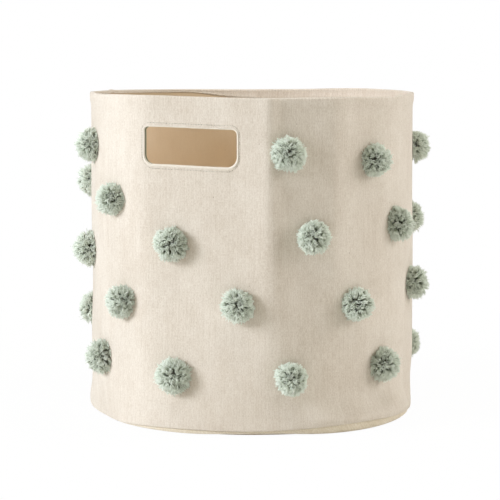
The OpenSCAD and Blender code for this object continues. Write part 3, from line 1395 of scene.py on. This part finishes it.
@dataclass
class Base:
    """The sewn base: canvas panel, board and lining."""

    form: WallForm
    columns: int = 300
    row_step: float = 6 * MM
    roll_points: int = 13
    roll_power: float = 0.5

    def build(self) -> None:
        """Makes the panel and the lining, and dresses the board."""
        self.panel()
        self.board()
        self.lining()

    def _disc(self, name: str, profile: Profile, upwards: bool) -> Object:
        """A cloth disc: a profile from the axis outwards, turned round it.

        The first ring closes on a middle point. The cloth coordinates are flat
        x and y, at the distance along the section.

        Args:
            name: the piece's name.
            profile: section, whose first point is on the axis.
            upwards: whether its face looks up.

        Returns:
            The object.
        """
        s = self.form.sizes
        us = np.arange(self.columns) * (s.girth / self.columns)
        rows = profile.rows(self.row_step)[1:]
        depth, z = profile.at(rows)
        u = np.repeat(us, len(rows))
        points = self.form.points(u, np.tile(z, self.columns), np.tile(depth, self.columns))
        middle = np.array([[0.0, 0.0, profile.z[0]]])
        reach = np.tile(rows, self.columns)
        turn = u / s.radius
        cloth = np.stack([reach * np.sin(turn), -reach * np.cos(turn)], -1)
        index = np.arange(len(u)).reshape(self.columns, len(rows))
        fan = np.stack([np.full(self.columns, len(u)), index[:, 0], np.roll(index[:, 0], -1)], -1)
        faces = [round_quads(index).reshape(-1, 4), fan]
        if not upwards:
            faces = [f[:, ::-1] for f in faces]
        all_cloth = np.concatenate([cloth, [[0.0, 0.0]]])
        return Quads(np.concatenate([points, middle]), faces, all_cloth).piece(name)

    def panel(self) -> None:
        """The canvas panel, its edge rolled up and turned in under the wall.

        The rolled edge is half a superellipse, |cos a|^0.5 by |sin a|^0.5.
        """
        s = self.form.sizes
        roll = s.seam_z / 2
        edge = s.radius - s.base_radius + roll
        a = np.radians(np.linspace(-90, 90, self.roll_points))
        flatter = np.sign(np.sin(a)) * np.abs(np.sin(a)) ** self.roll_power
        round_edge = (edge - roll * np.cos(a) ** self.roll_power, roll + roll * flatter)
        profile = Profile(
            np.concatenate([[s.radius], round_edge[0], [edge + s.allowance]]),
            np.concatenate([[0.0], round_edge[1], [s.seam_z]]),
        )
        piece = self._disc("base_panel_canvas", profile, upwards=False)
        dress(piece, BASE_CANVAS_BRIGHTENED, "base_panel", s.canvas)

    def board(self) -> None:
        """Gives the CAD board its fibreboard finish."""
        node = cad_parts["base_board"]
        node.data.materials.clear()
        node.data.materials.append(BOARD.material())
        LOG.info("base_board: keeps its CAD mesh")

    def lining(self) -> None:
        """The lining on the board, which steps up over the seam allowances."""
        s = self.form.sizes
        step = s.floor_top - s.lining - s.board_top
        inner = s.board_radius - s.allowance - step
        profile = Profile(
            np.array([s.radius, s.radius - inner + step, s.radius - inner, s.wall]),
            np.array([s.board_top, s.board_top, s.board_top + step, s.board_top + step])
            + s.lining,
        )
        piece = self._disc("base_lining", profile, upwards=True)
        dress(piece, LINING, "lining_base", s.lining)


# ---- sewing


@dataclass
class StitchLine:
    """A row of separate stitches along a line in space."""

    path: Array
    normals: Array
    closed: bool
    pitch: float = 3.0 * MM
    length: float = 2.3 * MM
    thread: float = 0.55 * MM
    sides: int = 5
    rings: int = 6
    arch: float = 1.3
    dive: float = 0.55
    span: tuple[float, float] = (0.04, 0.96)
    shades: tuple[float, float] = (0.2, 0.8)

    def quads(self) -> Quads:
        """All the stitches as one mesh.

        Stitch k runs along the path from k pitch for its length. Its middle line
        stands off by thread (arch sin(pi t) - dive) / 2, so both ends dive into
        the cloth, and its radius narrows to the ends as sqrt(sin(pi t)).

        Returns:
            The mesh.
        """
        path, normals = self.path, self.normals
        if self.closed:
            path, normals = np.vstack([path, path[:1]]), np.vstack([normals, normals[:1]])
        along = np.concatenate([[0.0], np.cumsum(np.linalg.norm(np.diff(path, axis=0), axis=1))])
        count = max(1, int(along[-1] / self.pitch))
        pitch = along[-1] / count
        t = np.linspace(*self.span, self.rings)
        s = (np.arange(count) * pitch)[:, None] + (pitch - self.length) / 2 + t * self.length
        place = self._along(s, along, path)
        normal = unit(self._along(s, along, normals))
        near = 0.1 * MM
        tangent = unit(self._along(s + near, along, path) - self._along(s - near, along, path))
        side = unit(np.cross(tangent, normal))
        lift = self.thread / 2 * (self.arch * np.sin(math.pi * t) - self.dive)
        centres = place + normal * lift[None, :, None]
        radii = np.tile(self.thread / 2 * np.sqrt(np.sin(math.pi * t)), (count, 1))
        shade = np.random.default_rng(count).uniform(*self.shades, count)
        # v falls to 0 at both ends, where the thread's dark colour paints the shade of the needle
        # holes.
        cloth = np.stack([np.repeat(shade[:, None], self.rings, 1),
                          np.tile(np.sin(math.pi * t) ** 2, (count, 1))], -1)
        return tubes(centres, radii, self.sides, side, normal, cloth)

    @staticmethod
    def _along(s: Array, along: Array, values: Array) -> Array:
        """Values at distances along the line."""
        return np.stack([np.interp(s, along, values[:, k]) for k in range(3)], -1)


@dataclass
class RoundStitching:
    """The rows of stitches that go round the rim, the base seam and the side seam."""

    form: WallForm
    samples: int = 720
    side_spread: float = 3.5 * MM
    side_above_seam: float = 2 * MM
    side_below_rim: float = 3 * MM
    in_groove: float = 0.35 * MM
    under_seam: float = 0.2 * MM

    def build(self) -> None:
        """Makes the three pieces."""
        s = self.form.sizes
        hem = 2 * s.canvas + s.core + AIR
        self._sew("rim_stitches", "rim_stitching", [self._ring(s.hem_stitch_z, hem, -1.0)])
        groove = s.radius - s.base_radius + self.in_groove
        base = self._ring(s.seam_z - self.under_seam, groove, 1.0)
        self._sew("base_seam_stitches", "base_seam_stitching", [base])
        self._sew("side_seam_stitches", "side_seam_stitching",
                  [self._upright(-self.side_spread), self._upright(self.side_spread)])

    def _sew(self, name: str, node: str, lines: list[StitchLine]) -> None:
        """Makes one piece of rows of stitches."""
        piece = Quads.merged([line.quads() for line in lines]).piece(name)
        dress(piece, THREAD, node)

    def _ring(self, z: float, depth: float, sign: float) -> StitchLine:
        """A row round the bin.

        Args:
            z: its height.
            depth: its distance in from the canvas's face.
            sign: 1 where the stitches show outside, -1 inside.

        Returns:
            The row.
        """
        u = np.arange(self.samples) * (self.form.sizes.girth / self.samples)
        path = self.form.points(u, np.full_like(u, z), np.full_like(u, depth))
        return StitchLine(path, self.form.outward(u) * sign, closed=True)

    def _upright(self, aside: float) -> StitchLine:
        """A row down the side seam.

        Args:
            aside: its distance from the seam's middle.

        Returns:
            The row.
        """
        s = self.form.sizes
        low, high = s.seam_z + self.side_above_seam, s.height - self.side_below_rim
        z = np.linspace(low, high, self.samples // 2)
        u = np.full_like(z, s.arc(self.form.side_seam) + aside)
        path = self.form.points(u, z, np.zeros_like(z))
        return StitchLine(path, self.form.outward(u), closed=False)


# ---- hand holes


@dataclass
class HandHole:
    """One hand hole: its turned facing and its two loops of stitches."""

    form: WallForm
    window: Window
    side: Side
    around: int = 240
    cloth: float = 0.5 * MM
    facing: float = 0.8 * MM
    border: float = 11 * MM
    lip: Margins = (0.12 * MM, 0.54 * MM, 0.06 * MM, 0.78 * MM)
    lip_points: int = 12
    lip_from: float = 48.0
    proud: float = 0.02 * MM
    roll: float = 0.8 * MM
    bend: float = 1.2 * MM
    # Margin and depth in mm, first of the edge under the canvas, then of the fold in the felt.
    tucked: tuple[float, float] = (1.9, 0.9)
    dip: tuple[tuple[float, float], ...] = (
        (0.15, 1.05), (0.9, 1.25), (1.35, 1.6), (1.35, 2.2), (0.9, 2.7),
    )
    back_margin: float = 0.3 * MM
    flat_margin: float = 4 * MM

    def build(self) -> None:
        """Makes the facing and the stitches."""
        self.facing_piece()
        self.stitches()

    @property
    def inside(self) -> float:
        """Depth of the facing's flat border, on the lining."""
        return self.form.sizes.wall + AIR + self.facing

    def _place(self, window: Window, margin: Array, depth: Array,
               lips: Array) -> tuple[Array, Array]:
        """Points round a window.

        Args:
            window: the outline to go round.
            margin: distance out from it, one for each point of the section.
            depth: distance in from the canvas's face, the same shape.
            lips: lip widths added to the margin, the same shape. The lip's width
                is each side's own times the outline's normal towards that side.

        Returns:
            Points (around, section, 3) and their flat places (around, section, 2).
        """
        edge, normal = window.outline(self.around)
        towards = np.stack([-normal[:, 0], normal[:, 0], normal[:, 1], -normal[:, 1]], -1)
        width = (np.maximum(towards, 0.0) * self.lip).sum(1)
        out = margin[None] + lips[None] * width[:, None]
        flat = edge[:, None] + normal[:, None] * out[..., None]
        return self.form.points(flat[..., 0], flat[..., 1], depth[None]), flat

    def _section(self) -> tuple[Array, Array, Array]:
        """The facing's section.

        It starts under the canvas's cut edge, rolls over a lip, dips into the
        cut felt, rolls out again and ends flat on the lining.

        Returns:
            Margin, depth and lip widths of each point.
        """
        a = np.radians(np.linspace(self.lip_from, 180, self.lip_points))
        b = np.radians(np.linspace(0, 90, 6))
        tucked, dip = np.array(self.tucked) * MM, np.array(self.dip) * MM
        back = self.bend * (1 - np.cos(b)) + self.back_margin
        flat = np.linspace(self.flat_margin, self.border, 4)
        lips = np.concatenate([[0.0], 1 + np.cos(a), np.zeros(len(dip) + len(b) + len(flat))])
        margin = np.concatenate([tucked[:1], np.zeros(len(a)), dip[:, 0], back, flat])
        depth = np.concatenate([
            tucked[1:], self.roll - (self.roll + self.proud) * np.sin(a), dip[:, 1],
            self.inside - self.bend * (1 - np.sin(b)), np.full(len(flat), self.inside),
        ])
        return margin, depth, lips

    def facing_piece(self) -> None:
        """The strip turned through the window, cut on the bias, with a dark olive colour on its dip
        into the felt as painted shade of the reveal.
        """
        points, _ = self._place(self.window, *self._section())
        count = points.shape[1]
        faces = round_quads(np.arange(self.around * count).reshape(self.around, count))
        steps = np.linalg.norm(np.diff(points, axis=1), axis=2).mean(0)
        across_strip = np.concatenate([[0.0], np.cumsum(steps)])
        round_it = np.arange(self.around) * (self.window.around / self.around)
        u, v = np.broadcast_arrays(round_it[:, None], across_strip[None])
        bias = np.stack([u + v, u - v], -1) * math.sqrt(0.5)
        quads = Quads(points.reshape(-1, 3), [faces.reshape(-1, 4)], bias.reshape(-1, 2))
        name = self.side.name.lower()
        piece = quads.piece(f"facing_{name}")
        dress(piece, FACING, f"handle_facing_{name}", self.cloth)
        piece.data.materials.append(REVEAL_SHADE.material())
        # The dip's faces take the dark colour, painted shade of the reveal.
        painted_reveal = np.zeros((self.around, count - 1), np.int32)
        fold = 1 + self.lip_points
        painted_reveal[:, fold:fold + len(self.dip) + 1] = 1
        piece.data.polygons.foreach_set("material_index", painted_reveal.ravel())

    def stitches(self) -> None:
        """One loop of stitches on the canvas, and one on the facing inside."""
        sewn = self.window.grown(*self.form.stitch_away)
        loops = []
        for depth, sign in ((0.0, 1.0), (self.inside, -1.0)):
            points, flat = self._place(sewn, np.zeros(1), np.array([depth]), np.zeros(1))
            line = StitchLine(points[:, 0], sign * self.form.outward(flat[:, 0, 0]), closed=True,
                              thread=0.7 * MM, pitch=3.2 * MM, length=3.1 * MM)
            loops.append(line.quads())
        name = self.side.name.lower()
        piece = Quads.merged(loops).piece(f"hand_hole_stitches_{name}")
        dress(piece, THREAD, f"handle_stitching_{name}")


# ---- pompoms


@dataclass
class Pompom:
    """A pompom: a bundle of cut yarn bound at its middle, in strands of eight plies."""

    form: WallForm
    node: str
    azimuth: float
    z: float
    seed: int
    radius: float = 16.5 * MM
    seat: float = 4 * MM
    yarns: int = 232
    plies: int = 8
    sides: int = 4
    ply: float = 0.42 * MM
    # Places along a yarn, and in plies there: a ply's radius and its distance from the middle.
    stations: tuple[float, ...] = (0.38, 0.80, 1.0)
    bodies: tuple[float, ...] = (0.95, 1.05, 0.70)
    spreads: tuple[float, ...] = (1.2, 2.6, 3.9)
    root: float = 1.5 * MM
    bend: float = 0.9 * MM
    sag: float = 0.6 * MM
    wind: float = 2.4
    uneven_cut: float = 0.065
    uneven_reach: tuple[float, float] = (0.35, 1.25)
    uneven_body: tuple[float, float] = (0.8, 1.15)
    own_shade: float = 0.55
    clear: float = 0.75 * MM
    # Form of the ball: how far down it reaches, its tufts, its lumps and its pits.
    lowest: float = -0.42
    jitter: float = 0.07
    fullness: float = 0.985
    uneven_length: float = 0.03
    tufts: int = 34
    tufts_out: float = 0.35
    pull: float = 0.05
    tuft_edge: float = 0.08
    tuft_from: float = 0.80
    tuft_over: float = 0.17
    lumps: int = 6
    lump: float = 0.055
    pits: int = 7
    pits_out: float = 0.8
    pits_spread: float = 0.5
    pit_depth: float = 0.22
    pit_reach: float = 0.012

    def build(self) -> None:
        """Makes the pompom's yarn.

        Each yarn grows from near the middle along a direction of a Fibonacci
        spiral over the ball above the wall, pulled towards the nearest of a few
        tufts. Its middle line is root + direction x length x t, bent sideways by
        sin(pi t) and sagging by t^2, and its plies wind round that line and part
        at the cut end.
        """
        rng = np.random.default_rng(self.seed)
        u0 = np.array(self.form.sizes.arc(self.azimuth))
        out = self.form.outward(u0)
        up = np.array([0.0, 0.0, 1.0])
        basis = np.stack([np.array([-out[1], out[0], 0.0]), up, out])
        middle = self.form.points(u0, np.array(self.z), np.array(0.0)) + out * self.seat
        local, length = self._directions(rng)
        direction = local @ basis
        first, second = across(direction)
        t = np.array(self.stations)
        bend = rng.normal(0, self.bend, (self.yarns, 2))
        curve = bend[:, :1, None] * first[:, None] + bend[:, 1:, None] * second[:, None]
        turns = rng.uniform(0, 2 * math.pi, self.yarns)
        spread = self.ply * np.array(self.spreads)
        body = self.ply * np.array(self.bodies)
        shade = rng.uniform(0, 1, self.yarns)
        centres, radii, cloth = [], [], []
        for k in range(self.plies):
            cut = length * rng.normal(1.0, self.uneven_cut, self.yarns)
            grown = self.root + (cut - self.root)[:, None] * t
            line = middle + direction[:, None] * grown[..., None]
            line = line + curve * np.sin(math.pi * t)[None, :, None]
            line = line - up * (self.sag * t**2)[None, :, None]
            angle = turns[:, None] + 2 * math.pi * k / self.plies + self.wind * t
            reach = spread[None, :, None] * rng.uniform(*self.uneven_reach, (self.yarns, 1, 1))
            offset = np.cos(angle)[..., None] * first[:, None]
            offset = offset + np.sin(angle)[..., None] * second[:, None]
            centres.append(line + reach * offset)
            radii.append(body[None] * rng.uniform(*self.uneven_body, (self.yarns, 1)))
            own = self.own_shade * rng.uniform(0, 1, self.yarns)
            own = np.clip((1 - self.own_shade) * shade + own, 0, 1)
            cloth.append(np.stack(np.broadcast_arrays(own[:, None], t[None]), -1))
        firsts, seconds = (np.tile(np.repeat(axis[:, None], len(t), 1), (self.plies, 1, 1))
                           for axis in (first, second))
        quads = tubes(self._off_wall(np.concatenate(centres), out), np.concatenate(radii),
                      self.sides, firsts, seconds, np.concatenate(cloth))
        dress(quads.piece(f"{self.node}_yarn"), YARN, self.node)

    def _directions(self, rng: np.random.Generator) -> tuple[Array, Array]:
        """Directions and lengths of the yarns.

        The directions are those of a Fibonacci spiral from the pole down, jittered
        and pulled to the nearest tuft. A length is the radius times a sum of
        lumps, each the squared cosine to its lobe, less towards the edge of a
        tuft and by exp(-(1 - cosine) / reach) in a pit.

        Args:
            rng: the pompom's own random numbers.

        Returns:
            Unit directions (yarns, 3) with the last part out of the wall, and lengths.
        """
        i = np.arange(self.yarns)
        cosine = 1 - (i + 0.5) / self.yarns * (1 - self.lowest)
        sine = np.sqrt(1 - cosine**2)
        turn = i * math.pi * (3 - math.sqrt(5)) + rng.uniform(0, 6)
        local = np.stack([sine * np.cos(turn), sine * np.sin(turn), cosine], -1)
        local = unit(local + rng.normal(0, self.jitter, local.shape))
        tufts = unit(rng.normal(0, 1, (self.tufts, 3)) + [0, 0, self.tufts_out])
        nearest = tufts[np.argmax(local @ tufts.T, axis=1)]
        local = unit(local + self.pull * (nearest - local))
        lobes = unit(rng.normal(0, 1, (self.lumps, 3)))
        swell = rng.normal(0, self.lump, self.lumps)
        lumps = (np.maximum(local @ lobes.T, 0) ** 2 * swell).sum(1)
        closeness = np.clip((local * nearest).sum(1), 0, 1)
        uneven = rng.normal(0, self.uneven_length, self.yarns)
        length = self.radius * (self.fullness + lumps + uneven)
        in_tuft = smooth((closeness - self.tuft_from) / self.tuft_over)
        length = length * (1 - self.tuft_edge + self.tuft_edge * in_tuft)
        pits = unit(rng.normal(0, self.pits_spread, (self.pits, 3)) + [0, 0, self.pits_out])
        apart = 1 - np.clip((local @ pits.T).max(1), 0, 1)
        return local, length * (1 - self.pit_depth * np.exp(-apart / self.pit_reach))

    def _off_wall(self, centres: Array, out: Array) -> Array:
        """Strands pushed out of the wall until they clear the canvas.

        Args:
            centres: points of the strands' middle lines, shape (..., 3).
            out: unit vector straight out of the wall.

        Returns:
            The points, moved where they had to be.
        """
        s = self.form.sizes
        u = np.arctan2(centres[..., 0], -centres[..., 1]) * s.radius
        need = self.form.radius(u, centres[..., 2]) + self.clear
        short = np.maximum(need - np.hypot(centres[..., 0], centres[..., 1]), 0.0)
        return centres + out * short[..., None]


@dataclass
class PompomTies:
    """The tie of each pompom, from its middle through the canvas to a flat knot."""

    form: WallForm
    places: list[tuple[float, float]]
    tie: float = 0.7 * MM
    knot: float = 2.4 * MM
    sides: int = 12
    # The knot's section: depth behind the canvas's back, and share of its radius.
    section: tuple[tuple[float, float], ...] = (
        (1.0 * MM, 0.6), (0.9 * MM, 0.9), (0.5 * MM, 1.0), (0.1 * MM, 0.9),
    )

    def build(self) -> None:
        """Makes all the ties.

        Each is a turned tube along the radial line: a flat round knot behind the
        canvas, then the thin tie out to the pompom's middle.
        """
        s = self.form.sizes
        u, z = np.array(self.places).T
        behind = s.canvas + AIR
        back, share = np.array(self.section).T
        depth = np.concatenate([behind + back, [behind, s.canvas, -Pompom.seat]])
        radius = np.concatenate([share * self.knot, [self.tie] * 3])
        out = self.form.outward(u)
        face = self.form.points(u, z, np.zeros_like(u))
        centres = face[:, None] - out[:, None] * depth[None, :, None]
        side = np.stack([-out[:, 1], out[:, 0], np.zeros(len(u))], -1)
        firsts = np.repeat(side[:, None], len(depth), 1)
        seconds = np.broadcast_to([0.0, 0.0, 1.0], firsts.shape)
        # A v of 0.5 gives the ties the yarn's dark colour, the painted shade under the pompoms.
        cloth = np.full((len(u), len(depth), 2), 0.5)
        quads = tubes(centres, np.tile(radius, (len(u), 1)), self.sides, firsts, seconds, cloth)
        dress(quads.piece("pompom_tie_knots"), YARN, "pompom_ties")


def pompom_places() -> dict[str, tuple[float, float]]:
    """Azimuth in degrees and height of each pompom, from its CAD solid.

    The solid's point furthest from the bin's axis is straight out from its middle.

    Returns:
        Node name to (azimuth, height).
    """
    found = {}
    for name in sorted(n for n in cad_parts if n.startswith("pompom_") and n != "pompom_ties"):
        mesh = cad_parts[name].data
        co = np.zeros(len(mesh.vertices) * 3)
        mesh.vertices.foreach_get("co", co)
        co = co.reshape(-1, 3)
        tip = co[np.argmax(np.hypot(co[:, 0], co[:, 1]))]
        low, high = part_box(name)
        found[name] = (math.degrees(math.atan2(tip[0], -tip[1])), (low.z + high.z) / 2)
    return found


# ---- stage


@dataclass(frozen=True)
class SoftBox:
    """A large soft lamp, aimed at a point on the bin's axis."""

    name: str
    azimuth: float
    elevation: float
    distance: float
    size: tuple[float, float]
    power: float
    colour: tuple[float, float, float] = (1.0, 1.0, 1.0)

    def build(self, aim: float) -> None:
        """Makes the lamp, which stands at its azimuth, elevation and distance.

        Args:
            aim: height of the point on the axis that it lights.
        """
        lamp = bpy.data.lights.new(self.name, "AREA")
        lamp.shape = "RECTANGLE"
        lamp.size, lamp.size_y = self.size
        lamp.energy = self.power
        lamp.color = self.colour
        thing = placed(self.name, lamp)
        a, e = math.radians(self.azimuth), math.radians(self.elevation)
        thing.location = (self.distance * math.cos(e) * math.sin(a),
                          -self.distance * math.cos(e) * math.cos(a),
                          aim + self.distance * math.sin(e))
        thing.rotation_euler = (math.pi / 2 - e, 0.0, a)


@dataclass
class Stage:
    """Floor, lamps, world and camera."""

    sizes: Sizes
    camera_azimuth: float = 21.5
    camera_distance: float = 1.9058
    camera_height: float = 0.3832
    camera_aside: float = -0.0016
    camera_tilt: float = 6.658
    lens: float = 133.5
    world: float = 0.19
    world_colour: Colour = (1.0, 0.93, 0.60, 1.0)
    floor_half: float = 6.0
    floor_near: float = 10 * MM
    floor_white: float = 0.97
    floor_plain: float = 0.74
    lamps: tuple[SoftBox, ...] = (
        SoftBox("key_left", azimuth=-45.0, elevation=19.0, distance=3.6, size=(1.3, 1.5),
                power=109.5, colour=(0.93, 0.98, 1.07)),
        SoftBox("fill_right", azimuth=111.0, elevation=20.0, distance=3.0, size=(1.6, 1.8),
                power=49.5, colour=(0.99, 0.98, 1.0)),
        SoftBox("soft_top", azimuth=20.0, elevation=85.0, distance=2.0, size=(1.8, 1.8),
                power=20.0),
    )

    def build(self) -> None:
        """Makes the whole stage."""
        self.camera()
        self.floor()
        self.surroundings()
        for lamp in self.lamps:
            lamp.build(self.sizes.height / 2)
        bpy.context.scene.view_settings.view_transform = "Standard"

    def camera(self) -> None:
        """The camera, level across and tilted down a little."""
        data = bpy.data.cameras.new("camera")
        data.lens = self.lens
        data.sensor_width = 36.0
        data.clip_end = 50.0
        thing = placed("camera", data)
        a = math.radians(self.camera_azimuth)
        thing.location = (
            self.camera_distance * math.sin(a) + self.camera_aside * math.cos(a),
            -self.camera_distance * math.cos(a) + self.camera_aside * math.sin(a),
            self.camera_height,
        )
        thing.rotation_euler = (math.pi / 2 - math.radians(self.camera_tilt), 0.0, a)
        bpy.context.scene.camera = thing

    @staticmethod
    def _seen(s: Shader) -> NodeSocket:
        """1 for rays of the camera, straight or by way of gloss or glass.

        Args:
            s: the shader of a material or world.

        Returns:
            The mask.
        """
        rays = s.add("LightPath").outputs
        seen = s.maths("MAXIMUM", rays["Is Camera Ray"], rays["Is Glossy Ray"])
        return s.maths("MAXIMUM", seen, rays["Is Transmission Ray"])

    def floor(self) -> None:
        """A wide white floor that keeps a little of the bin's shadow near it.

        The camera sees its own white light for a share of it, which grows to all
        of it away from the bin.
        """
        half = self.floor_half
        corners = np.array([[-half, -half, 0], [half, -half, 0], [half, half, 0], [-half, half, 0]])
        floor = Quads(corners, [np.array([[0, 1, 2, 3]])]).piece("floor")
        material = bpy.data.materials.new("white_floor")
        material.use_nodes = True
        s = Shader(material.node_tree)
        paper = s.add("BsdfDiffuse", {"Color": rgb(250, 249, 247)})
        white = s.add("Emission", {"Color": (1.0, 1.0, 1.0, 1.0), "Strength": 1.0})
        place = s.add("TexCoord").outputs["Object"]
        away = s.add("VectorMath", {0: place}, operation="LENGTH").outputs["Value"]
        near = self.sizes.radius + self.floor_near
        share = s.spread(away, near, self.floor_plain, self.floor_white, 1.0)
        share = s.maths("MULTIPLY", self._seen(s), share)
        mixed = s.add("MixShader", {0: share, 1: paper.outputs[0], 2: white.outputs[0]})
        s.add("OutputMaterial", {"Surface": mixed.outputs[0]})
        floor.data.materials.append(material)

    def surroundings(self) -> None:
        """A plain world: white to the camera, soft grey light to the bin."""
        world = bpy.data.worlds.new("studio")
        world.use_nodes = True
        s = Shader(world.node_tree)
        light = s.add("Background", {"Color": self.world_colour, "Strength": self.world})
        white = s.add("Background", {"Color": (1.0, 1.0, 1.0, 1.0), "Strength": 1.0})
        mixed = s.add("MixShader", {0: self._seen(s), 1: light.outputs[0], 2: white.outputs[0]})
        s.add("OutputWorld", {"Surface": mixed.outputs[0]})
        bpy.context.scene.world = world


# ---- the bin


def hand_windows(sizes: Sizes, border: float) -> dict[Side, Window]:
    """Both hand holes on the flat wall, from the boxes of their facings.

    Once sewn, each is a little lower and less high than it was cut, and the
    front one sits a little to the left.

    Args:
        sizes: the bin's sizes.
        border: width of a facing's flat border.

    Returns:
        Side to window.
    """
    made = {}
    corners = (9 * MM, 10.5 * MM, 5.5 * MM, 4 * MM)
    aside = {Side.FRONT: -1.6 * MM, Side.BACK: 0.0}
    less_high, lower = 0.6 * MM, 0.5 * MM
    for side in Side:
        low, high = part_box(f"handle_facing_{side.name.lower()}")
        half = (high.x - low.x) / 2 - border
        width = 2 * sizes.radius * math.asin(half / sizes.radius)
        height = high.z - low.z - 2 * border - less_high
        middle = (low.z + high.z) / 2 - lower
        made[side] = Window(sizes.arc(side.value) + aside[side], middle, width, height, corners)
    return made


def main() -> None:
    """Builds the stage and every piece of the bin."""
    logging.basicConfig(level=logging.INFO, format="%(name)s %(message)s")
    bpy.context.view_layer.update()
    sizes = Sizes.from_frame()
    Stage(sizes).build()
    places = pompom_places()
    ties = [(sizes.arc(azimuth), z) for azimuth, z in places.values()]
    windows = hand_windows(sizes, HandHole.border)
    form = WallForm(sizes, ties, list(windows.values()))
    ClothWall(form).build()
    Base(form).build()
    RoundStitching(form).build()
    for side, window in windows.items():
        HandHole(form, window, side).build()
    for seed, (name, (azimuth, z)) in enumerate(places.items()):
        Pompom(form, name, azimuth, z, 100 + seed).build()
    PompomTies(form, ties).build()


if __name__ == "__main__":
    main()
